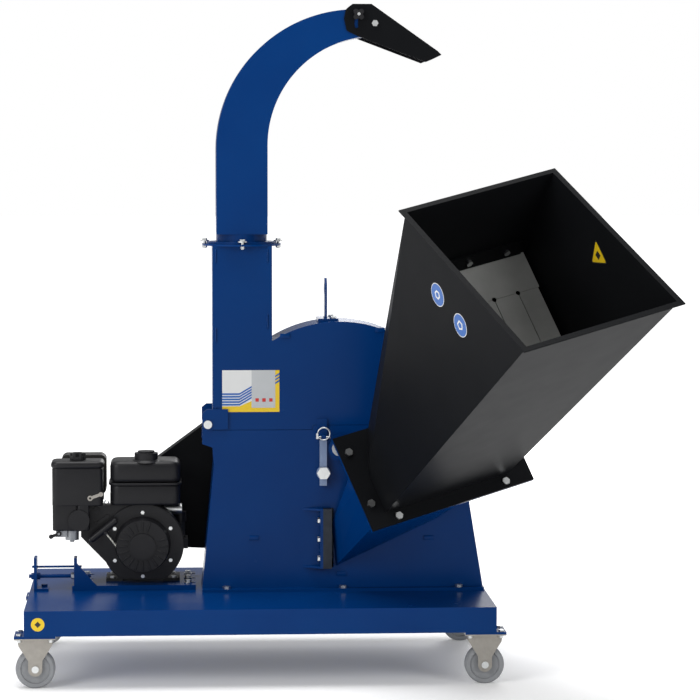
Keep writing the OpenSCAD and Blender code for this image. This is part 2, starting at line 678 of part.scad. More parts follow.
// ---- Upper casing, latch and chute ----
stud_z = latch_z + 95;
pin_y = casing_front - latch_out - 8;
ring_bolt_r = ring_r - 7;
module upper_outline(t) {
    translate([rotor_x, axis_z]) circle(r = drum_r - t, $fn = 96);
    translate([tower_x + t, axis_z]) square([tower_w - 2 * t, ring_z - ring_t - axis_z + (t > 0 ? 1 : 0)]);
}
module ear_outline() {
    translate([hinge_x, hinge_z]) circle(r = 14);
    polygon([[hinge_x, hinge_z - 14], [tower_x + 40, hinge_z - 13], [tower_x + 40, hinge_z + 40],
             [hinge_x - 2, hinge_z + 40], [hinge_x - 14, hinge_z + 30], [hinge_x - 14, hinge_z]]);
}
module ear_seat() translate([tower_x + 3, hinge_z - 13]) square([37, 52]);
module upper_casing() color(blue) difference() {
    union() {
        for (y = [casing_front, back - plate_t]) slab_y(y, y + plate_t) intersection() {
            upper_outline(0);
            upper_half();
        }
        slab_y(casing_front + plate_t, back - plate_t) intersection() {
            difference() {
                upper_outline(0);
                upper_outline(plate_t);
            }
            upper_half();
        }
        translate([tower_mid, mid_y, ring_z - ring_t]) cylinder(r = ring_r, h = ring_t, $fn = 96);
        slab_y(casing_front - gap - 6, casing_front - gap) ear_outline();
        slab_y(casing_front - gap, casing_front) ear_seat();
        slab_y(back + gap, back + gap + 6) ear_outline();
        slab_y(back, back + gap) ear_seat();
        // latch lug and stud
        translate([latch_x - 17, casing_front - gap - 6, stud_z - 8])
            cube([27, 6, split_z + 30 - stud_z + 8]);
        translate([latch_x - 17, casing_front - gap, split_z + 14]) cube([27, gap, 16]);
        rod_y(latch_x, casing_front - latch_out - 14, casing_front - gap - 3, stud_z, 7);
    }
    translate([tower_mid, mid_y, ring_z - ring_t - 1]) cylinder(r = 70, h = ring_t + 2);
    rod_y(hinge_x, casing_front - 20, back + 20, hinge_z, hinge_r + run_fit);
    for (a = [0:90:270]) translate([tower_mid + ring_bolt_r * cos(a), mid_y + ring_bolt_r * sin(a),
        ring_z - ring_t - 1])
        cylinder(r = 4 + bolt_fit, h = ring_t + 2);
    rod_x(latch_x - 12, latch_x + 12, pin_y, stud_z, 3 + run_fit);
    for (y = [-1, 1]) translate([rotor_x - 14, mid_y + y * 36, axis_z + drum_r - 20])
        cylinder(r = 5 + bolt_fit, h = 30);
}
module hinge_pin() color(steel) {
    rod_y(hinge_x, casing_front - 12, back + 12, hinge_z, hinge_r);
    rod_y(hinge_x, casing_front - 12, casing_front - 2 * gap - 6, hinge_z, 11);
    rod_y(hinge_x, back + 2 * gap + 6, back + 12, hinge_z, 11);
}
module lifting_lug() color(blue) difference() {
    union() {
        slab_y(mid_y - 52, mid_y + 52) difference() {
            translate([rotor_x - 54, axis_z + drum_r - 14]) square([54, 20]);
            translate([rotor_x, axis_z]) circle(r = drum_r, $fn = 96);
        }
        translate([rotor_x - 35, mid_y, axis_z + drum_r]) rotate([90, 0, 90]) linear_extrude(6)
            difference() {
            union() {
                translate([-30, 0]) square([60, 82]);
                translate([0, 82]) circle(r = 30);
            }
            translate([0, 82]) circle(r = 15);
        }
    }
    for (y = [-1, 1]) translate([rotor_x - 14, mid_y + y * 36, axis_z + drum_r - 20])
        cylinder(r = 5 + bolt_fit, h = 40);
}
module upper_bolts() color(steel) {
    for (a = [0:90:270]) translate([tower_mid + ring_bolt_r * cos(a), mid_y + ring_bolt_r * sin(a),
        ring_z + ring_t + 2 * gap]) {
        cylinder(r = 12, h = 3);
        translate([0, 0, 3]) hex_bolt(8, 2 * ring_t + 2 * gap + 3);
    }
    for (y = [-1, 1]) translate([rotor_x - 14, mid_y + y * 36, axis_z + drum_r + 6])
        hex_bolt(10, plate_t + 7.5);
}
module duct_outline(t, end) difference() {
    union() {
        translate([duct_x + t, duct_z - (t > 0 ? 1 : 0)]) square([duct_w - 2 * t, bend_z - duct_z + 2]);
        intersection() {
            translate([bend_x, bend_z]) circle(r = bend_r - t, $fn = 96);
            translate([duct_x - 1, bend_z]) square([outlet_x + end - duct_x + 1, bend_r + 2]);
        }
    }
    translate([inner_x, inner_z]) circle(r = inner_r + t, $fn = 96);
    polygon([[duct_x + duct_w - t, duct_z - 2], [outlet_x + 60, duct_z - 2], [outlet_x + 60,
        inner_z + inner_r + t],
             [inner_x, inner_z + inner_r + t], [inner_x, inner_z], [duct_x + duct_w - t, inner_z]]);
}
stud = [pivot_x + stud_r * cos(stud_a), pivot_z + stud_r * sin(stud_a)];
module chute() color(blue) difference() {
    union() {
        for (y = [duct_front, duct_back - duct_t]) slab_y(y, y + duct_t) duct_outline(0, 0);
        slab_y(duct_front + duct_t, duct_back - duct_t) difference() {
            duct_outline(0, 0);
            duct_outline(duct_t, 1);
        }
        translate([tower_mid, mid_y, ring2_z]) cylinder(r = ring_r - 12, h = ring_t, $fn = 96);
        translate([tower_mid, mid_y, ring2_z]) cylinder(r = 67, h = duct_z - ring2_z + 1);
        translate([duct_x, duct_front, duct_z]) cube([duct_w, duct_d, duct_t]);
    }
    translate([tower_mid, mid_y, ring2_z - 1]) cylinder(r = 63, h = duct_z - ring2_z + duct_t + 2);
    rod_y(pivot_x, duct_front - 1, duct_back + 1, pivot_z, 5 + bolt_fit);
    rod_y(stud[0], duct_front - 1, duct_back + 1, stud[1], 4 + bolt_fit);
}
flap_y = [duct_front - 1 - flap_t, duct_back + 1];
roof_end = [pivot_x - 9 + flap_l * cos(flap_slope), pivot_z + 50 - flap_l * sin(flap_slope)];
module flap_side() difference() {
    polygon([[pivot_x - 58, pivot_z + 50], [pivot_x - 77, pivot_z + 33], [pivot_x - 81, pivot_z + 11],
             [pivot_x - 74, pivot_z - 19], [pivot_x - 65, pivot_z - 24], [pivot_x - 42, pivot_z - 35],
             [roof_end[0] - 32, roof_end[1] - 29], [roof_end[0] - 17, roof_end[1] - 23], [roof_end[0] + 10,
                 roof_end[1] - 10],
             roof_end, [pivot_x - 9, pivot_z + 50]]);
    translate([pivot_x, pivot_z]) {
        circle(r = 5 + run_fit);
        for (a = [stud_a - flap_up, stud_a + flap_down]) translate([stud_r * cos(a), stud_r * sin(a)])
            circle(r = 4.6);
        intersection() {
            difference() {
                circle(r = stud_r + 4.5);
                circle(r = stud_r - 4.5);
            }
            polygon([[0, 0], [90 * cos(stud_a - flap_up), 90 * sin(stud_a - flap_up)],
                [90 * cos(stud_a + 14), 90 * sin(stud_a + 14)],
                     [90 * cos(stud_a + flap_down), 90 * sin(stud_a + flap_down)]]);
        }
    }
}
module deflector() color(black) {
    for (y = flap_y) slab_y(y, y + flap_t) flap_side();
    slab_y(flap_y[0], flap_y[1] + flap_t) polygon([
        [pivot_x - 58, pivot_z + 50], [pivot_x - 58, pivot_z + 50 - flap_t], [pivot_x - 10,
            pivot_z + 50 - flap_t],
        roof_end + flap_t * [-sin(flap_slope), -cos(flap_slope)], roof_end, [pivot_x - 9, pivot_z + 50]]);
}
module deflector_bolts() color(steel) {
    for (s = [0, 1]) {
        y = s == 0 ? flap_y[0] - gap : flap_y[1] + flap_t + gap;
        translate([pivot_x, y, pivot_z]) rotate([s == 0 ? 90 : -90, 0, 0])
            hex_bolt(10, 1 + gap + flap_t + duct_t);
        translate([stud[0], y, stud[1]]) rotate([s == 0 ? 90 : -90, 0, 0]) {
            translate([0, 0, -10 - gap]) cylinder(r = 4, h = s == 0 ? 34 : 14);
            translate([0, 0, -1 - gap - flap_t - duct_t - 4]) cylinder(r = 9, h = 4);
            if (s == 1) cylinder(r = 8, h = 6, $fn = 6);
        }
    }
}
module star_knob() color(black) {
    y = flap_y[0] - gap;
    slab_y(y - 14, y) difference() {
        union() {
            translate(stud) circle(r = 11);
            for (a = [45:90:315]) translate([stud[0] + 10 * cos(a), stud[1] + 10 * sin(a)]) circle(r = 6.5);
        }
        translate(stud) circle(r = 4 + run_fit);
    }
}
module latch_bar() color(blue) slab_y(casing_front - latch_out, casing_front - 10) difference() {
    union() {
        intersection() {
            translate([latch_x - 10, latch_z]) square([19, 100]);
            translate([latch_x, latch_z]) circle(r = 87);
        }
        translate([latch_x, latch_z]) circle(r = 18);
        translate([latch_x - 10, latch_z - 34]) square([19, 34]);
    }
    translate([latch_x, latch_z]) circle(r = 10 + run_fit);
}
module lynch_pin() color(steel) {
    rod_x(latch_x - 19, latch_x + 17, pin_y, stud_z, 3);
    rod_x(latch_x - 20, latch_x - 13, pin_y, stud_z, 6);
    translate([latch_x - 20, pin_y - 11, stud_z - 3]) cube([5, 13, 14]);
    translate([latch_x, pin_y - 9, stud_z + 10]) rotate([90, 0, 0]) rotate_extrude($fn = 64)
        translate([16, 0]) circle(r = 2);
}

// ---- Belt guard ----
guard = [
    [crank_x - 89, crank_z - 21], [crank_x - 47, crank_z - 65], [crank_x + 53, crank_z - 65],
        [crank_x + 98, crank_z - 33],
    [crank_x + 183, crank_z - 37], [rotor_x + 131, axis_z - 114], [rotor_x + 168, axis_z - 62],
    [rotor_x + 168, axis_z + 68], [rotor_x + 116, axis_z + 135], [rotor_x - 224, axis_z + 135],
        [crank_x - 72, crank_z + 128],
    [crank_x - 89, crank_z + 115]
];
module guard_plate() color(black) slab_y(guard_y, guard_y + guard_t) difference() {
    polygon(guard);
    for (x = [0, -tension_travel]) translate([crank_x + x, crank_z]) circle(r = 16);
    translate([crank_x - tension_travel, crank_z - 16]) square([tension_travel, 32]);
    translate([rotor_x, axis_z]) circle(r = shaft_d / 2 + 5);
    for (p = standoffs) translate(p) circle(r = 5 + bolt_fit);
}
module guard_cover() color(black) difference() {
    slab_y(guard_y + guard_t, cover_y) polygon(guard);
    slab_y(guard_y + guard_t - 1, cover_y - 2) polygon(inset(guard, 2));
    for (p = standoffs) rod_y(p[0], cover_y - 3, cover_y + 1, p[1], 5 + bolt_fit);
}

// ---- Engine plate and belt tensioner ----
foot_x = [crank_x - engine_pitch_x / 2, crank_x + engine_pitch_x / 2];
foot_yy = [foot_y - engine_pitch_y / 2, foot_y + engine_pitch_y / 2];
rail_t = 8;
tie_x = plate_x0 + 5;
module engine_plate() color(black) difference() {
    union() {
        translate([plate_x0, plate_y0, plate_z]) cube([plate_x1 - plate_x0, plate_y1 - plate_y0,
            engine_plate_t]);
        translate([tie_x, plate_y0, engine_z]) cube([8, 44, 74]);
        translate([tie_x, plate_y0 + 6, engine_z]) rotate([90, 0, 0]) linear_extrude(6)
            polygon([[8, 0], [60, 0], [8, 60]]);
    }
    for (x = slot_x, y = slot_y) translate([x, y, plate_z - 1]) {
        for (d = [0, tension_travel]) translate([d, 0, 0]) cylinder(r = 5.5, h = engine_plate_t + 2);
        translate([0, -5.5, 0]) cube([tension_travel, 11, engine_plate_t + 2]);
    }
    for (x = foot_x, y = foot_yy) translate([x, y, plate_z - 1]) cylinder(r = 4 + bolt_fit, h =
        engine_plate_t + 2);
    rod_x(tie_x - 1, tie_x + 9, ear_y, screw_z, 5.5);
    rod_x(tie_x - 1, tie_x + 9, ear_y, screw_z + 25, 3.5);
}
module tensioner() color(steel) {
    x = plate_x0 - 100;
    translate([x, plate_y0 - 4, top]) cube([8, 52, 87]);
    translate([x + 8, plate_y0 - 4, top]) cube([30, 52, 6]);
    rod_x(x - 14, tie_x + 44, ear_y, screw_z, 5);
    rod_x(x - 6, tie_x + 20, ear_y, screw_z + 25, 3);
    translate([x - 8, ear_y, screw_z]) rotate([0, 90, 0]) cylinder(r = 9, h = 8, $fn = 6);
    translate([x + 8, ear_y, screw_z]) rotate([0, 90, 0]) cylinder(r = 9, h = 8, $fn = 6);
    translate([x + 26, plate_y0 + 38, top + 6]) cylinder(r = 8, h = 6, $fn = 6);
}
module tensioner_nuts() color(steel) for (x = [tie_x - 8, tie_x + 8]) difference() {
    translate([x, ear_y, screw_z]) rotate([0, 90, 0]) cylinder(r = 9, h = 8, $fn = 6);
    rod_x(x - 1, x + 9, ear_y, screw_z, 5 + run_fit);
}

// ---- Engine ----
lean = 25;
case_y0 = blower_y + 40;
case_y1 = pto_y - 8;
cyl_y = [case_y0 + 12, case_y0 + 102];
module at_cylinder() translate([crank_x, crank_z]) rotate(180 - lean) children();
module rrect(x0, y0, x1, y1, r) {
    translate([x0 + r, y0]) square([x1 - x0 - 2 * r, y1 - y0]);
    translate([x0, y0 + r]) square([x1 - x0, y1 - y0 - 2 * r]);
    for (x = [x0 + r, x1 - r], y = [y0 + r, y1 - r]) translate([x, y]) circle(r = r);
}
module crankcase() color([0.24, 0.24, 0.25]) difference() {
    union() {
        slab_y(case_y0, case_y1) difference() {
            polygon([[crank_x - 68, engine_z + 6], [crank_x + 66, engine_z + 6], [crank_x + 72,
                crank_z - 10],
                     [crank_x + 60, crank_z + 66], [crank_x - 62, crank_z + 66], [crank_x - 74,
                         crank_z - 10]]);
            at_cylinder() translate([60, -120]) square([200, 240]);
        }
        slab_y(case_y0 + 20, case_y1 - 30)
            translate([crank_x - 30, crank_z + 50]) square([85, 56]);
        for (s = [-1, 1]) translate([crank_x + s * (engine_pitch_x / 2 - 5) - 22, case_y0 + 1, engine_z])
            cube([44, case_y1 - case_y0 - 3, rail_t]);
        rod_y(crank_x, case_y1 - 5, pto_y, crank_z, 32);
        translate([crank_x + 64, case_y0 + 20, crank_z - 22]) cube([56, 70, 26]);
        translate([crank_x + 99, case_y0 + 55, crank_z]) cylinder(r = 14, h = 47);
    }
    translate([crank_x + 99, case_y0 + 55, crank_z - 10]) cylinder(r = 7, h = 60);
    rod_y(crank_x, case_y0 - 1, pto_y + 1, crank_z, crank_d / 2 + run_fit);
    for (x = foot_x, y = foot_yy) translate([x, y, engine_z - 1]) cylinder(r = 4 + bolt_fit, h =
        rail_t + 2);
}
module cylinder_head() color([0.50, 0.50, 0.50]) {
    slab_y(cyl_y[0] + 8, cyl_y[1] - 8) at_cylinder() translate([60, -38]) square([96, 76]);
    for (i = [0:8]) slab_y(cyl_y[0], cyl_y[1]) at_cylinder() translate([62 + 10 * i, -48])
        square([3.5, 96]);
    slab_y(cyl_y[0] + 6, cyl_y[1] - 6) at_cylinder() translate([156, -34]) square([14, 68]);
    rod_mid = (cyl_y[0] + cyl_y[1]) / 2;
    translate([crank_x, rod_mid, crank_z]) rotate([0, lean, 0]) {
        translate([-200, 0, 0]) rotate([0, 90, 0]) cylinder(r = 6, h = 32);
        translate([-184, 0, 0]) rotate([0, 90, 0]) cylinder(r = 10, h = 8, $fn = 6);
    }
}
module blower_outline(t) intersection() {
    union() {
        translate([crank_x, crank_z]) circle(r = 109 - t);
        polygon([[crank_x - 163 + t, crank_z + 20 + t / 2], [crank_x - 88 + t / 2, crank_z - 58 + t],
            [crank_x, crank_z - 58 + t],
                 [crank_x, crank_z + 104 - t], [crank_x - 163 + t, crank_z + 104 - t]]);
    }
    translate([crank_x - 300, crank_z - 91 + t]) square([600, 196.5 - 2 * t]);
}
recoil_bolt_a = [30:60:330];
module blower_housing() color(black) {
    difference() {
        slab_y(blower_y, case_y0) blower_outline(0);
        slab_y(blower_y + 3, case_y0 + 1) blower_outline(3);
        rod_y(crank_x, blower_y - 1, blower_y + 4, crank_z, 62);
        for (a = recoil_bolt_a) rod_y(crank_x + 85 * cos(a), blower_y - 1, blower_y + 4,
            crank_z + 85 * sin(a), 3.4);
    }
    rod_y(lever_x, blower_y - 5, blower_y + 2, lever_z, 3);
    rod_y(lever_x, blower_y - 7, blower_y + 2, switch_z, 3);
}
grip = [crank_x - 103, crank_z + 41];
rope_to = [crank_x - 77, crank_z + 8];
rope_y = blower_y - 27;
rope_angle = atan2(grip[1] - rope_to[1], grip[0] - rope_to[0]);
module recoil_cover() color(black) difference() {
    union() {
        slab_y(blower_y - 8, blower_y) intersection() {
            translate([crank_x, crank_z]) circle(r = 107);
            translate([crank_x - 200, crank_z - 91]) square([400, 196.5]);
        }
        translate([crank_x, blower_y - 8, crank_z]) rotate([90, 0, 0]) cylinder(r1 = 74, r2 = 68, h = 36,
            $fn = 64);
        rod_y(crank_x, blower_y - 50, blower_y - 44, crank_z, 34);
    }
    rod_y(crank_x, blower_y - 38, blower_y + 1, crank_z, 62);
    for (a = recoil_bolt_a) rod_y(crank_x + 85 * cos(a), blower_y - 9, blower_y + 1, crank_z + 85 * sin(a),
        3.4);
    translate([rope_to[0], rope_y, rope_to[1]]) rotate([0, 90 - rope_angle, 0]) translate([0, 0, -40])
        cylinder(r = 3, h = 60);
}
module starter_rope() color([0.85, 0.85, 0.82]) translate([grip[0], rope_y, grip[1]])
    rotate([0, 90 - rope_angle, 0])
    translate([0, 0, -100]) cylinder(r = 2.2, h = 88);
module starter_handle() color(black) translate([grip[0], rope_y, grip[1]]) rotate([0, 90 - rope_angle, 0]) {
    translate([0, 0, -12]) cylinder(r = 8, h = 12);
    translate([-37, 0, 0]) rotate([0, 90, 0]) cylinder(r = 9, h = 74);
    for (x = [-37, 37]) translate([x, 0, 0]) sphere(r = 9);
}
module fuel_tank() color(black) {
    z0 = crank_z + 106;
    x0 = crank_x - 89;
    x1 = crank_x + 104;
    y0 = blower_y - 30;
    y1 = blower_y + 110;
    translate([0, 0, z0]) linear_extrude(53) rrect(x0 + 4, y0 + 4, x1 - 4, y1 - 4, 22);
    translate([0, 0, z0 + 53]) linear_extrude(6) rrect(x0, y0, x1, y1, 26);
    translate([0, 0, z0 + 59]) linear_extrude(50) rrect(x0 + 4, y0 + 4, x1 - 4, y1 - 4, 22);
    translate([0, 0, z0 + 109]) linear_extrude(9) rrect(x0 + 14, y0 + 14, x1 - 14, y1 - 14, 20);
    translate([crank_x + 10, blower_y + 10, z0 + 118]) cylinder(r = 20, h = 12);
}
module fuel_cap() color(black) translate([crank_x + 10, blower_y + 10, crank_z + 224 + gap]) difference() {
    union() {
        cylinder(r = 31, h = 18);
        cylinder(r = 22, h = 23);
    }
    translate([0, 0, -1]) cylinder(r = 20 + run_fit, h = 14);
}
filter_z = crank_z + 41;
module air_filter() color(black) {
    x0 = crank_x - 237;
    x1 = crank_x - 104;
    slab_y(blower_y - 40, blower_y + 46) polygon([[x0, filter_z], [crank_x - 170, filter_z],
        [crank_x - 170, crank_z + 107],
        [x1, crank_z + 107], [x1, crank_z + 205], [x0, crank_z + 205]]);
    translate([0, 0, crank_z + 205]) linear_extrude(20) rrect(x0 - 3, blower_y - 43, x1 + 3, blower_y + 49,
        16);
    slab_y(blower_y - 40, blower_y - 6) polygon([[crank_x - 171, filter_z], [crank_x - 139, filter_z],
        [crank_x - 139, crank_z + 108], [crank_x - 171, crank_z + 108]]);
    rod_y(crank_x - 167, blower_y - 46, blower_y - 40, filter_z + 28, 28);
    rod_y(lever_x2, blower_y - 49, blower_y - 39, lever_z2, 3);
    translate([crank_x - 170, blower_y, crank_z + 225]) cylinder(r = 5, h = 14);
}
module filter_knob() color(black) translate([crank_x - 170, blower_y, crank_z + 225 + gap]) difference() {
    union() {
        cylinder(r = 19, h = 10);
        for (a = [0:60:300]) translate([15 * cos(a), 15 * sin(a), 0]) cylinder(r = 6, h = 18);
        cylinder(r = 12, h = 20);
    }
    translate([0, 0, -1]) cylinder(r = 5 + run_fit, h = 17);
}
module carburettor() color([0.62, 0.62, 0.62]) {
    translate([crank_x - 186, blower_y - 5, filter_z - 27]) cylinder(r = 18, h = 27);
    translate([crank_x - 186, blower_y - 5, filter_z - 33]) cylinder(r = 6, h = 6, $fn = 6);
    translate([crank_x - 228, blower_y - 22, filter_z - 18]) cube([30, 44, 18]);
    rod_y(lever_x3, blower_y - 30, blower_y - 21, lever_z3, 3);
    // intake between the filter and the cylinder
    translate([crank_x - 177, blower_y + 46, crank_z + 79]) cube([65, cyl_y[0] - blower_y - 46, 40]);
}
muffler_x = crank_x - 217;
module muffler() color([0.32, 0.31, 0.30]) {
    slab_y(case_y0 + 45, case_y0 + 115) rrect(muffler_x, crank_z + 122, muffler_x + 120, crank_z + 228, 16);
    slab_y(case_y0 + 43, case_y0 + 45) rrect(muffler_x + 8, crank_z + 130, muffler_x + 112, crank_z + 220,
        12);
    translate([crank_x - 115, case_y0 + 72, crank_z + 105.5]) cylinder(r = 11, h = 18);
    rod_x(muffler_x - 18, muffler_x + 1, case_y0 + 80, crank_z + 190, 10);
}
module dipstick() color(black) translate([crank_x + 99, case_y0 + 55, crank_z + 4]) {
    translate([0, 0, 43 + gap]) cylinder(r = 18, h = 26);
    translate([0, 0, -6]) cylinder(r = 6, h = 52);
}
module engine_bolts() color(steel) {
    for (x = foot_x, y = foot_yy) translate([x, y, engine_z + rail_t])
        hex_bolt(8, engine_plate_t + rail_t - 1, false);
    for (a = recoil_bolt_a) bolt_y(crank_x + 85 * cos(a), blower_y - 8, crank_z + 85 * sin(a), 6, 10.5,
        false);
    // solenoid beside the tank's bracket
    rod_x(crank_x + 55.3, crank_x + 104, case_y0 + 18, crank_z + 86, 15);
}
module crankshaft() color(steel) {
    rod_y(crank_x, blower_y + 4, pulley_y + pulley_w + 4, crank_z, crank_d / 2);
    rod_y(crank_x, blower_y + 8, case_y0 - 4, crank_z, 84);
}
lever_x = crank_x - 122;
lever_z = crank_z + 54;
switch_z = crank_z + 90;
lever_x2 = crank_x - 137;
lever_z2 = crank_z + 128;
lever_x3 = crank_x - 220;
lever_z3 = filter_z - 9;
module lever(x, y, z, len, a, pin) translate([x, y, z]) rotate([90, 0, 0]) rotate([0, 0, a])
    linear_extrude(3) difference() {
    union() {
        circle(r = pin + 4);
        translate([0, -4]) square([len, 8]);
        translate([len, 0]) circle(r = 6);
    }
    circle(r = pin + run_fit);
}
module throttle_lever() color(steel) lever(lever_x, blower_y - gap, lever_z, 34, 35, 3);
module choke_lever() color(steel) lever(lever_x2, blower_y - 40 - gap, lever_z2, 30, 20, 3);
module fuel_lever() color(black) lever(lever_x3, blower_y - 22 - gap, lever_z3, 22, 200, 3);
module engine_switch() color([0.75, 0.10, 0.08]) slab_y(blower_y - gap - 5, blower_y - gap) difference() {
    union() {
        translate([lever_x, switch_z]) circle(r = 8);
        translate([lever_x - 3, switch_z - 11]) square([6, 22]);
    }
    translate([lever_x, switch_z]) circle(r = 3 + run_fit);
}

in_frame() deck();
in_frame() caster_forks();
in_frame() caster_hardware();
in_frame() wheel_front_left();
in_frame() wheel_front_right();
in_frame() wheel_rear_left();
in_frame() wheel_rear_right();
in_frame() lower_casing();
in_frame() frame_bolts();
in_frame() infeed_box();
in_frame() hopper();
in_frame() infeed_bolts();
in_frame() curtain_clamp();
in_frame() curtain();
in_frame() curtain_tongue_left();
in_frame() curtain_tongue_middle();
in_frame() curtain_tongue_right();
in_frame() anvil_knife();
in_frame() bearing_housings();
in_frame() rotor_shaft();
in_frame() rotor_disc();
in_frame() rotor_knives();
in_frame() knife_bolts();
in_frame() rotor_pulley();
in_frame() upper_casing();
in_frame() hinge_pin();
in_frame() lifting_lug();
in_frame() upper_bolts();
in_frame() chute();
in_frame() deflector();
in_frame() deflector_bolts();
in_frame() star_knob();
in_frame() latch_bar();
in_frame() lynch_pin();
in_frame() guard_plate();
in_frame() guard_cover();
in_frame() belts();
in_frame() engine_plate();
in_frame() tensioner();
in_frame() tensioner_nuts();
in_frame() crankcase();
in_frame() cylinder_head();
in_frame() blower_housing();
in_frame() recoil_cover();
in_frame() starter_handle();
in_frame() starter_rope();
in_frame() fuel_tank();
in_frame() fuel_cap();
in_frame() air_filter();
in_frame() filter_knob();
in_frame() carburettor();
in_frame() muffler();
in_frame() dipstick();
in_frame() engine_bolts();
in_frame() crankshaft();
in_frame() engine_pulley();
in_frame() throttle_lever();
in_frame() choke_lever();
in_frame() fuel_lever();
in_frame() engine_switch();
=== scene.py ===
import bpy, bmesh, json
from math import radians, pi
from mathutils import Vector, Matrix


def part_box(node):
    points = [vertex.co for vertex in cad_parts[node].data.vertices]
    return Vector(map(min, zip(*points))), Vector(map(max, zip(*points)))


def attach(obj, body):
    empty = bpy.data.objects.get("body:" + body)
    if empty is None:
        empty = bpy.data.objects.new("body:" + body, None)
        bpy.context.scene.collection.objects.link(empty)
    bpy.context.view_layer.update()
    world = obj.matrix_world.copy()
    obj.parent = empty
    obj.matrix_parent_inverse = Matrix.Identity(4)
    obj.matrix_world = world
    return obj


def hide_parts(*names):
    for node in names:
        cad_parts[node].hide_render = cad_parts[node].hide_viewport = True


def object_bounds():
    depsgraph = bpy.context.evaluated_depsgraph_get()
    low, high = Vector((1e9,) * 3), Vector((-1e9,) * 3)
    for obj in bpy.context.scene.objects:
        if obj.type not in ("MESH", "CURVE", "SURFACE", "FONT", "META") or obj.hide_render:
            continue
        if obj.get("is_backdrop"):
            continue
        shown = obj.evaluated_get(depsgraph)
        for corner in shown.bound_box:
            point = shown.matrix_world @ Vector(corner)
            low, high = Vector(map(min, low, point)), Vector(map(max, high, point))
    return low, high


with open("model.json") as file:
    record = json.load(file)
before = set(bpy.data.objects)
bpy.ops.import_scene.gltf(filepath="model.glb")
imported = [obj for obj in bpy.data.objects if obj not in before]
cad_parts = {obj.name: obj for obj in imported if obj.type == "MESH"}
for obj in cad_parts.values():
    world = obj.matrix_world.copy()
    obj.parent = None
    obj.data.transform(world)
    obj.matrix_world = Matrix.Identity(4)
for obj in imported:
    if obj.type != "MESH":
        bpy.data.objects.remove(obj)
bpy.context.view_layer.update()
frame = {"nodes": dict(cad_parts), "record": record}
slotOf = {part["node"]: part["material_slot"] for part in frame["record"]["subparts"]}
print("frame loaded:", len(frame["nodes"]), "nodes")

# places are in millimetres from the middle of the deck, z from the floor
deckLow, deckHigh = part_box("deck")
deckMiddle = ((deckLow[0] + deckHigh[0]) / 2, (deckLow[1] + deckHigh[1]) / 2)


def place(x, y, z):
    return Vector((deckMiddle[0] + x / 1000, deckMiddle[1] + y / 1000, z / 1000))


# materials
def linear(hexColour):
    channels = [int(hexColour[i:i + 2], 16) / 255 for i in (0, 2, 4)]
    return tuple(c / 12.92 if c <= 0.04045 else ((c + 0.055) / 1.055) ** 2.4 for c in channels) + (1.0,)


def addNode(tree, kind, settings, links):
    node = tree.nodes.new(kind)
    for name, value in settings.items():
        if name in node.inputs:
            node.inputs[name].default_value = value
        else:
            setattr(node, name, value)
    for name, source in links.items():
        tree.links.new(source, node.inputs[name])
    return node


def startFinish(name, shaderSettings):
    finish = bpy.data.materials.new(name)
    finish.use_nodes = True
    tree = finish.node_tree
    shader = tree.nodes["Principled BSDF"]
    for socket, value in shaderSettings.items():
        shader.inputs[socket].default_value = value
    where = addNode(tree, "ShaderNodeTexCoord", {}, {}).outputs["Object"]
    return finish, tree, shader, where


def perMetre(millimetres):
    return 1000 / millimetres  # a noise scale of 1000 / d gives lumps about d mm apart


# colour drifts between two shades, roughness between two values, and a fine bump of one size
def finishWith(name, shades, drift, rough, grain, height, shaderSettings):
    finish, tree, shader, where = startFinish(name, shaderSettings)
    broad = addNode(tree, "ShaderNodeTexNoise", {"Scale": perMetre(drift), "Detail": 4.0}, {"Vector": where})
    colours = addNode(tree, "ShaderNodeMix", {"data_type": "RGBA"}, {"Factor": broad.outputs["Fac"]})
    colours.inputs[6].default_value = linear(shades[0])
    colours.inputs[7].default_value = linear(shades[1])
    tree.links.new(colours.outputs[2], shader.inputs["Base Color"])
    smear = addNode(tree, "ShaderNodeTexNoise", {"Scale": perMetre(drift * 0.4), "Detail": 3.0},
                    {"Vector": where})
    spread = addNode(tree, "ShaderNodeMapRange", {"To Min": rough[0], "To Max": rough[1]},
                     {"Value": smear.outputs["Fac"]})
    tree.links.new(spread.outputs["Result"], shader.inputs["Roughness"])
    fine = addNode(tree, "ShaderNodeTexNoise", {"Scale": perMetre(grain), "Detail": 2.0}, {"Vector": where})
    bump = addNode(tree, "ShaderNodeBump", {"Strength": 0.35, "Distance": height / 1000},
                   {"Height": fine.outputs["Fac"]})
    tree.links.new(bump.outputs["Normal"], shader.inputs["Normal"])
    return finish


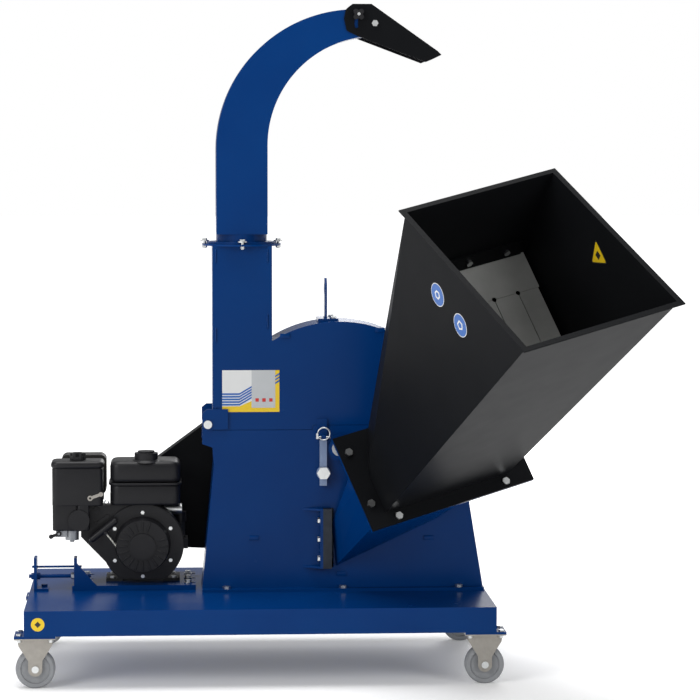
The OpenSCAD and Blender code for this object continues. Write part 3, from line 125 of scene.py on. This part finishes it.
finishes = {
    # powder coat over steel, sprayed and baked: a glossy skin with a faint orange peel
    "blue_paint": finishWith("bluePowderCoat", ("002a60", "00326a"), 160, (0.2, 0.3), 5, 0.10,
                              {"IOR": 1.5, "Specular IOR Level": 0.09}),
    "black_paint": finishWith("blackPowderCoat", ("0d0e10", "131416"), 160, (0.38, 0.44), 5, 0.04,
                               {"IOR": 1.4, "Specular IOR Level": 0.05}),
    # bright zinc plate on bolts: pale metal with a slightly cloudy shine
    "zinc": finishWith("brightZincPlate", ("c6c8c9", "dcdedd"), 6, (0.24, 0.38), 1.5, 0.02,
                       {"Metallic": 1.0}),
    # pressed forks with a duller zinc: warm grey and cloudy
    "fork_zinc": finishWith("dullZincPlate", ("8f8b85", "a5a19a"), 14, (0.34, 0.5), 3, 0.03,
                            {"Metallic": 0.9}),
    # ground tool steel: bright and even
    "machined": finishWith("groundSteel", ("a9acae", "bfc2c4"), 20, (0.22, 0.34), 1.5, 0.02,
                           {"Metallic": 1.0}),
    # solid moulded rubber and nylon wheel: dusty mid grey, no shine
    "wheel_grey": finishWith("greyMouldedRubber", ("7a7c7f", "898b8e"), 18, (0.6, 0.78), 2, 0.12,
                             {"IOR": 1.5}),
    # reinforced rubber sheet: pale grey and matt with a fine cloth print
    "curtain_grey": finishWith("greyRubberSheet", ("9c9d9a", "b2b3b0"), 40, (0.55, 0.7), 3, 0.10,
                               {"IOR": 1.5}),
    "blue_steel": finishWith("bluePaintedRotor", ("003058", "00406e"), 60, (0.35, 0.5), 4, 0.08,
                             {"IOR": 1.5}),
    # wrapped vee belt: black with worn cloth on its sides
    "belt_rubber": finishWith("wrappedBeltRubber", ("151515", "232323"), 8, (0.6, 0.8), 2, 0.10,
                              {"IOR": 1.5}),
    # sand cast iron and die cast case: grainy dark grey
    "cast": finishWith("sandCastIron", ("2b2c2e", "3b3c3e"), 12, (0.5, 0.68), 2.5, 0.20, {"Metallic": 0.6}),
    # die cast aluminium: pale, a little grainy
    "alloy": finishWith("dieCastAluminium", ("83868a", "9b9ea1"), 10, (0.4, 0.55), 2.5, 0.10,
                        {"Metallic": 0.9}),
    # engine covers in moulded nylon and satin enamel: near black with a spark eroded grain
    "engine_black": finishWith("mouldedBlackNylon", ("151517", "1c1c1f"), 50, (0.34, 0.48), 2.2, 0.12,
                                {"IOR": 1.5, "Specular IOR Level": 0.22}),
    # exhaust steel: heat dulled, brownish
    "exhaust": finishWith("heatDulledSteel", ("1c1b1a", "2a2826"), 14, (0.5, 0.66), 3, 0.06,
                          {"Metallic": 0.4}),
    "red_plastic": finishWith("redMouldedPlastic", ("8e0d08", "a3130c"), 12, (0.35, 0.5), 2, 0.05,
                              {"IOR": 1.5}),
}


# braided starter cord: pale threads that cross every 3 mm
def braidedCord():
    finish, tree, shader, where = startFinish("braidedCord", {"Roughness": 0.75, "IOR": 1.5})
    threads = addNode(tree, "ShaderNodeTexWave", {"Scale": perMetre(3) / 6.28, "Distortion": 2.0},
                      {"Vector": where})
    colours = addNode(tree, "ShaderNodeMix", {"data_type": "RGBA"}, {"Factor": threads.outputs["Fac"]})
    colours.inputs[6].default_value = linear("8f8f88")
    colours.inputs[7].default_value = linear("c9c9c0")
    tree.links.new(colours.outputs[2], shader.inputs["Base Color"])
    bump = addNode(tree, "ShaderNodeBump", {"Strength": 0.5, "Distance": 0.0003},
                   {"Height": threads.outputs["Fac"]})
    tree.links.new(bump.outputs["Normal"], shader.inputs["Normal"])
    return finish


finishes["rope_white"] = braidedCord()

# printed vinyl film: smooth, faintly uneven gloss
vinyl = {name: finishWith(name, shades, 30, (0.28, 0.38), 6, 0.02, {"IOR": 1.5}) for name, shades in {
    "whiteVinyl": ("c8c9c9", "d0d1d0"), "greyVinyl": ("a8abad", "b2b5b7"), "blueVinyl": ("0a4f9a", "1059a6"),
    "yellowVinyl": ("cfae00", "dab80a"), "redVinyl": ("b01812", "bb201a"),
    "blackVinyl": ("151515", "1c1c1c"),
}.items()}

# parts whose finish differs from their slot in the record
special = {
    # oiled tool steel: dark, with a soft shine along its ground edge
    "anvil_knife": finishWith("oiledToolSteel", ("20242b", "2f343c"), 20, (0.3, 0.45), 1.5, 0.02,
                              {"Metallic": 0.7}),
    # blue passivated zinc: cloudy steel with a cold tint
    "latch_bar": finishWith("bluePassivatedZinc", ("6c7d9d", "8291ad"), 12, (0.35, 0.5), 2, 0.02,
                            {"Metallic": 0.5}),
    # near black switch knob, moulded like the covers round it
    "engine_switch": finishes["engine_black"],
}
for node, slotName in slotOf.items():
    piece = frame["nodes"][node]
    piece.data.materials.clear()
    piece.data.materials.append(special.get(node, finishes[slotName]))
print("finishes:", len(finishes) + len(vinyl))


# building helpers
def bevelEdges(bm, edges, width, segments):
    bmesh.ops.bevel(bm, geom=edges, offset=width, offset_type="OFFSET", affect="EDGES", segments=segments,
                    profile=0.5, material=-1, clamp_overlap=True)


def finishPiece(name, bm, finish, body, smooth=True):
    bmesh.ops.remove_doubles(bm, verts=bm.verts, dist=1e-6)
    bmesh.ops.recalc_face_normals(bm, faces=bm.faces)
    mesh = bpy.data.meshes.new(name)
    bm.to_mesh(mesh)
    bm.free()
    piece = bpy.data.objects.new(name, mesh)
    bpy.context.scene.collection.objects.link(piece)
    mesh.materials.append(finish)
    if smooth:
        for face in mesh.polygons:
            face.use_smooth = True
        mesh.set_sharp_from_angle(angle=radians(40))
    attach(piece, body)
    return piece


def addBlock(bm, low, high, corner, edge, segments=4):
    # a block in metres with rounded upright corners and softened rims
    made = bmesh.ops.create_cube(bm, size=1.0)["verts"]
    size = high - low
    bmesh.ops.scale(bm, vec=size, verts=made)
    bmesh.ops.translate(bm, vec=(low + high) / 2, verts=made)
    around = list(dict.fromkeys(e for v in made for e in v.link_edges))
    upright = [e for e in around if abs(e.verts[0].co.z - e.verts[1].co.z) > size.z * 0.5]
    if corner:
        bevelEdges(bm, upright, corner, segments)
    if edge:
        near = 1e-6

        def inBlock(e):
            return all(low.x - near <= v.co.x <= high.x + near and low.y - near <= v.co.y <= high.y + near
                       for v in e.verts)

        def atHeight(e, z):
            return all(abs(v.co.z - z) < near for v in e.verts)

        rims = [e for e in bm.edges if inBlock(e) and (atHeight(e, high.z) or atHeight(e, low.z))
                and len(e.link_faces) == 2 and abs(e.calc_face_angle(0)) > 1.0]
        bevelEdges(bm, rims, edge, 3)


def addRod(bm, start, end, radius, radiusEnd=None, around=32):
    axis = end - start
    turn = axis.to_track_quat("Z", "Y").to_matrix().to_4x4()
    far = radius if radiusEnd is None else radiusEnd
    made = bmesh.ops.create_cone(bm, cap_ends=True, cap_tris=False, segments=around, radius1=radius,
                                 radius2=far, depth=axis.length)["verts"]
    bmesh.ops.transform(bm, matrix=Matrix.Translation((start + end) / 2) @ turn, verts=made)


# fuel tank: two moulded halves on a seam flange
tank = {"corner": 0.024, "seam": 0.006, "seamUp": 0.053, "crownDrop": 0.012, "inset": 0.004,
        "bottomRim": 0.006, "seamRim": 0.0015, "topRim": 0.014, "neckRadius": 0.020,
        "collar": (0.040, 0.034)}
low, high = map(Vector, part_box("fuel_tank"))
bm = bmesh.new()
seamZ = low.z + tank["seamUp"]
crown = high.z - tank["crownDrop"]
inset = Vector((tank["inset"], tank["inset"], 0))
addBlock(bm, low + inset, Vector((high.x, high.y, seamZ + 0.001)) - inset, tank["corner"],
         tank["bottomRim"])
addBlock(bm, Vector((low.x, low.y, seamZ)), Vector((high.x, high.y, seamZ + tank["seam"])),
         tank["corner"] + 0.003, tank["seamRim"])
addBlock(bm, Vector((low.x, low.y, seamZ + tank["seam"] - 0.001)) + inset,
         Vector((high.x, high.y, crown - 0.002)) - inset, tank["corner"], tank["topRim"])
capLow, capHigh = map(Vector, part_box("fuel_cap"))
neck = (capLow + capHigh) / 2
addRod(bm, Vector((neck.x, neck.y, crown - 0.012)), Vector((neck.x, neck.y, high.z)), tank["neckRadius"])
addRod(bm, Vector((neck.x, neck.y, crown - 0.006)), Vector((neck.x, neck.y, crown + 0.0005)),
       *tank["collar"])
piece = finishPiece("tankMoulding", bm, finishes["engine_black"], "engine")
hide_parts("fuel_tank")
print("fuel tank")

# air filter: moulded box, rounded lid, side bulge and snorkel boss
filterBox = {"corner": 0.014, "rim": 0.003, "lid": 0.020, "lidCorner": 0.018, "lidRim": 0.009,
             "overhang": 0.003, "bossRadius": 0.028, "bossDepth": 0.011, "studRadius": 0.005}
low, high = map(Vector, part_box("air_filter"))
knobLow, knobHigh = map(Vector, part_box("filter_knob"))
lidTop = knobLow.z - 0.0005
bm = bmesh.new()
over = filterBox["overhang"]
boxLow = Vector((low.x + over, low.y + 0.009, low.z))
boxHigh = Vector((high.x - over, high.y - over, lidTop - 0.018))
mid = (knobLow.x + knobHigh.x) / 2
knobY = (knobLow.y + knobHigh.y) / 2
tuck = 0.0008  # the lower part's faces lie this far inside the upper part's
addBlock(bm, Vector((boxLow.x, boxLow.y, low.z + 0.066)), boxHigh, filterBox["corner"],
         filterBox["rim"])
addBlock(bm, Vector((boxLow.x + tuck, boxLow.y + tuck, low.z)),
         Vector((mid, boxHigh.y - tuck, low.z + 0.08)), 0.010, 0.004)
addBlock(bm, Vector((mid - 0.002, boxLow.y, low.z)),
         Vector((mid + 0.031, boxLow.y + 0.034, low.z + 0.07)), 0.008, 0.002)
addBlock(bm, Vector((low.x, low.y + 0.006, lidTop - filterBox["lid"])),
         Vector((high.x, high.y, lidTop)), filterBox["lidCorner"], filterBox["lidRim"])
boss = Vector((mid + over, low.y + 0.003, low.z + filterBox["bossRadius"]))
addRod(bm, boss, boss + Vector((0, filterBox["bossDepth"], 0)), filterBox["bossRadius"])
addRod(bm, Vector((mid, knobY, lidTop - 0.004)), Vector((mid, knobY, knobHigh.z - 0.006)),
       filterBox["studRadius"])
piece = finishPiece("filterMoulding", bm, finishes["engine_black"], "engine")
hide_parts("air_filter")
print("air filter")

# recoil cover: radial louvres
louvres = {"count": 20, "inner": 0.040, "outer": 0.066, "width": 0.0045, "height": 0.003,
           "gapFrom": 25, "gapTo": 65}
low = Vector(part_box("recoil_cover")[0])
shaftLow, shaftHigh = map(Vector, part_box("crankshaft"))
centreX, centreZ = (shaftLow.x + shaftHigh.x) / 2, (shaftLow.z + shaftHigh.z) / 2
faceY = low.y + 0.006
bm = bmesh.new()
for step in range(louvres["count"]):
    angle = 2 * pi * step / louvres["count"]
    if louvres["gapFrom"] < step * 360 / louvres["count"] < louvres["gapTo"]:
        continue  # the rope's way out
    made = bmesh.ops.create_cube(bm, size=1.0)["verts"]
    length = louvres["outer"] - louvres["inner"]
    bmesh.ops.scale(bm, vec=(length, louvres["height"], louvres["width"]), verts=made)
    bmesh.ops.translate(bm, vec=((louvres["inner"] + louvres["outer"]) / 2, 0, 0), verts=made)
    bmesh.ops.transform(bm, matrix=Matrix.Translation((centreX, faceY - 0.0012, centreZ))
                        @ Matrix.Rotation(-angle, 4, "Y"), verts=made)
bevelEdges(bm, bm.edges[:], 0.0008, 1)
finishPiece("recoilLouvres", bm, finishes["engine_black"], "engine")
print("recoil louvres")

# weld tabs: short folded tabs that tie the ribs to the front plates
tab = {"width": 26, "height": 12, "thick": 3}
tabs = {"frame": [(-10, 344), (452, 341), (221, 247)], "upper": [(72, 877), (321, 892)]}
for body, spots in tabs.items():
    bm = bmesh.new()
    for x, z in spots:
        addBlock(bm, place(x - tab["width"] / 2, -60 - tab["thick"], z - tab["height"] / 2),
                 place(x + tab["width"] / 2, -60, z + tab["height"] / 2), 0, 0)
    bevelEdges(bm, bm.edges[:], 0.001, 2)
    finishPiece(body + "WeldTabs", bm, finishes["blue_paint"], body)


# weld beads: overlapping ripples laid along a seam
def addBead(bm, start, end, radius):
    length = (end - start).length
    count = max(2, int(length / (radius * 1.1)))
    for step in range(count + 1):
        made = bmesh.ops.create_icosphere(bm, subdivisions=1, radius=radius)["verts"]
        bmesh.ops.translate(bm, vec=start.lerp(end, step / count), verts=made)


bead = {"foot": 0.0032, "tower": 0.0028}
bm = bmesh.new()
for x0, x1 in ((-120, -40), (20, 100), (160, 240), (300, 380), (440, 520)):
    addBead(bm, place(x0, -61, 205), place(x1, -61, 205), bead["foot"])
finishPiece("footWelds", bm, finishes["blue_paint"], "frame")
bm = bmesh.new()
for z0, z1 in ((1071, 1102), (862, 896), (667, 688)):
    addBead(bm, place(-109, -60.5, z0), place(-109, -60.5, z1), bead["tower"])
for z0, z1 in ((1071, 1102), (898, 932)):
    addBead(bm, place(26, -60.5, z0), place(26, -60.5, z1), bead["tower"])
finishPiece("towerWelds", bm, finishes["blue_paint"], "upper")
print("welds")


# label on the upper casing: plain blocks of colour, no words
def flatPatch(bm, corners, face, thick):
    # corners in mm on the front plate, face in mm in front of it
    outline = [bm.verts.new(place(x, -60 - face, z)) for x, z in corners]
    patch = bm.faces.new(outline)
    grown = bmesh.ops.extrude_face_region(bm, geom=[patch])["geom"]
    raised = [g for g in grown if isinstance(g, bmesh.types.BMVert)]
    bmesh.ops.translate(bm, vec=(0, -thick / 1000, 0), verts=raised)


label = {"left": -93, "right": 57, "bottom": 677, "top": 787, "split": -16, "greyRight": 46, "foot": 688}


def labelPart(name, finish, patches, face):
    bm = bmesh.new()
    for corners in patches:
        flatPatch(bm, corners, face, 0.25)
    finishPiece(name, bm, vinyl[finish], "upper", smooth=False)


def rectangle(x0, z0, x1, z1):
    return [(x0, z0), (x1, z0), (x1, z1), (x0, z1)]


def bentStripe(z, rise, thick):
    # level from the left edge, then climbing to the split
    left, bend, split = label["left"], label["left"] + 45, label["split"]
    return [[(left, z), (bend, z), (bend, z + thick), (left, z + thick)],
            [(bend, z), (split, z + rise), (split, z + rise + thick), (bend, z + thick)]]


labelPart("labelGround", "yellowVinyl",
          [rectangle(label["left"], label["bottom"], label["right"], label["top"])], 0.0)
labelPart("labelWhitePanel", "whiteVinyl",
          [[(label["left"], 692), (-48, 692), (label["split"], 706), (label["split"], label["top"]),
            (label["left"], label["top"])]], 0.25)
labelPart("labelGreyPanel", "greyVinyl",
          [rectangle(label["split"], label["foot"], label["greyRight"], label["top"])], 0.25)
stripes = [part for z in (694, 701, 708, 715, 722) for part in bentStripe(z, 19, 4.6)]
labelPart("labelStripes", "blueVinyl", stripes, 0.5)
corner = [[(label["greyRight"], 750 + 9 * i), (label["right"], 757 + 9 * i), (label["right"], 762 + 9 * i),
           (label["greyRight"], 755 + 9 * i)] for i in range(3)]
labelPart("labelCorner", "blueVinyl", corner, 0.25)
marks = [rectangle(-6 + 18 * i, 704, 3 + 18 * i, 713) for i in range(3)]
labelPart("labelMarks", "redVinyl", marks, 0.5)
print("label")


# round and three-sided signs
def onWall(node, centre, outward):
    wall = frame["nodes"][node]
    start = place(*centre) + Vector(outward).normalized() * 0.04
    found, spot, normal, index = wall.ray_cast(start, -Vector(outward).normalized(), distance=0.1)
    return (spot, normal) if found else (place(*centre), Vector(outward).normalized())


def addSign(name, finish, body, spot, outward, radius, corners, face):
    bm = bmesh.new()
    bmesh.ops.create_cone(bm, cap_ends=True, cap_tris=False, segments=corners, radius1=radius / 1000,
                          radius2=radius / 1000, depth=0.0003)
    if corners == 3:
        upright = [e for e in bm.edges if abs(e.verts[0].co.z - e.verts[1].co.z) > 0.0001]
        bevelEdges(bm, upright, radius / 6000, 4)
    side = Vector((0, 0, 1)).cross(outward).normalized()
    up = outward.cross(side)
    frameTurn = Matrix((side, up, outward)).transposed().to_4x4()
    bmesh.ops.transform(bm, matrix=Matrix.Translation(spot + outward * face / 1000) @ frameTurn,
                        verts=bm.verts[:])
    finishPiece(name, bm, vinyl[finish], body, smooth=False)


# name, node it is stuck on, place in mm, outward, then (part, finish, radius, corners, mm off the wall)
signs = [
    ("hopperSignUpper", "hopper", (394, -889, 1032), (-0.896, -0.373, -0.242),
     (("Rim", "whiteVinyl", 29, 48, 0.2), ("Disc", "blueVinyl", 27, 48, 0.5),
      ("Mark", "whiteVinyl", 12, 6, 0.8),
      ("Centre", "blueVinyl", 7, 6, 1.1))),
    ("hopperSignLower", "hopper", (440, -957, 965), (-0.896, -0.373, -0.242),
     (("Rim", "whiteVinyl", 29, 48, 0.2), ("Disc", "blueVinyl", 27, 48, 0.5),
      ("Mark", "whiteVinyl", 13, 5, 0.8),
      ("Centre", "blueVinyl", 8, 5, 1.1))),
    ("innerSign", "hopper", (787, -794, 1120), (-0.893, -0.402, -0.2),
     (("Rim", "blackVinyl", 40, 3, 0.2), ("Face", "yellowVinyl", 35, 3, 0.5),
      ("Mark", "blackVinyl", 11, 4, 0.8))),
    ("deckSign", "deck", (-565, -350, 169), (0, -1, 0),
     (("Face", "yellowVinyl", 17, 48, 0.2), ("Mark", "blackVinyl", 8, 4, 0.5))),
]
for name, node, centre, outward, layers in signs:
    spot, normal = onWall(node, centre, outward)
    for part, finish, radius, corners, face in layers:
        addSign(name + part, finish, "frame", spot, normal, radius, corners, face)
print("signs")

# floor, light and camera
bpy.ops.mesh.primitive_plane_add(size=80, location=(0, 0, 0))
floor = bpy.context.object
floor.name = "floor"
pale = finishWith("paleFloor", ("f4f4f4", "f7f7f7"), 400, (0.8, 0.9), 20, 0.01,
                  {"IOR": 1.3, "Specular IOR Level": 0.1})
tree = pale.node_tree
where = addNode(tree, "ShaderNodeTexCoord", {}, {}).outputs["Object"]
reach = addNode(tree, "ShaderNodeVectorMath", {"operation": "LENGTH"}, {"Vector": where})
glow = {"From Min": 2.2, "From Max": 6.5, "To Min": 0.12, "To Max": 1.0}  # fades into the backdrop far out
sweep = addNode(tree, "ShaderNodeMapRange", glow, {"Value": reach.outputs["Value"]})
tree.links.new(sweep.outputs["Result"], tree.nodes["Principled BSDF"].inputs["Emission Strength"])
tree.nodes["Principled BSDF"].inputs["Emission Color"].default_value = (1, 1, 1, 1)
floor.data.materials.append(pale)
floor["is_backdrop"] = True

world = bpy.data.worlds.new("studio")
bpy.context.scene.world = world
world.use_nodes = True
sky = world.node_tree  # a white backdrop to look at, a dimmer one to light with
rays = addNode(sky, "ShaderNodeLightPath", {}, {})
strength = addNode(sky, "ShaderNodeMapRange", {"To Min": 0.35, "To Max": 1.0},
                   {"Value": rays.outputs["Is Camera Ray"]})
sky.nodes["Background"].inputs["Color"].default_value = (1, 1, 1, 1)
sky.links.new(strength.outputs["Result"], sky.nodes["Background"].inputs["Strength"])

lamps = {"overheadSoft": ((-0.6, 0.3, 4.6), (0, 0, 0.3), 3.5, 210),
         "leftSoft": ((-4.5, -4.0, 3.2), (0, 0, 0.8), 3.0, 170),
         "rightSoft": ((4.2, -4.4, 2.6), (0, 0, 0.8), 2.5, 95),
         "backSoft": ((1.5, 5.0, 3.0), (0, 0, 0.9), 3.0, 120)}
for name, (spot, target, size, power) in lamps.items():
    lamp = bpy.data.objects.new(name, bpy.data.lights.new(name, "AREA"))
    lamp.data.shape = "SQUARE"
    lamp.data.size = size
    lamp.data.energy = power
    aim = (Vector(target) - Vector(spot)).to_track_quat("-Z", "Y").to_matrix().to_4x4()
    lamp.matrix_world = Matrix.Translation(spot) @ aim
    bpy.context.scene.collection.objects.link(lamp)

view = {"spot": (-0.38998, -6.96069, 1.4098), "yaw": 3.684, "pitch": 4.434, "roll": 0.081, "lens": 144.55}
camera = bpy.data.objects.new("camera", bpy.data.cameras.new("camera"))
bpy.context.scene.collection.objects.link(camera)
camera.data.lens = view["lens"]
camera.data.sensor_width = 36
camera.matrix_world = (Matrix.Translation(view["spot"])
                       @ Matrix.Rotation(-radians(view["yaw"]), 4, "Z")
                       @ Matrix.Rotation(radians(90 - view["pitch"]), 4, "X")
                       @ Matrix.Rotation(radians(view["roll"]), 4, "Z"))
camera.data.dof.use_dof = False
bpy.context.scene.camera = camera
bpy.context.scene.view_settings.view_transform = "Standard"
print("stage, lamps and camera")

low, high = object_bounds()
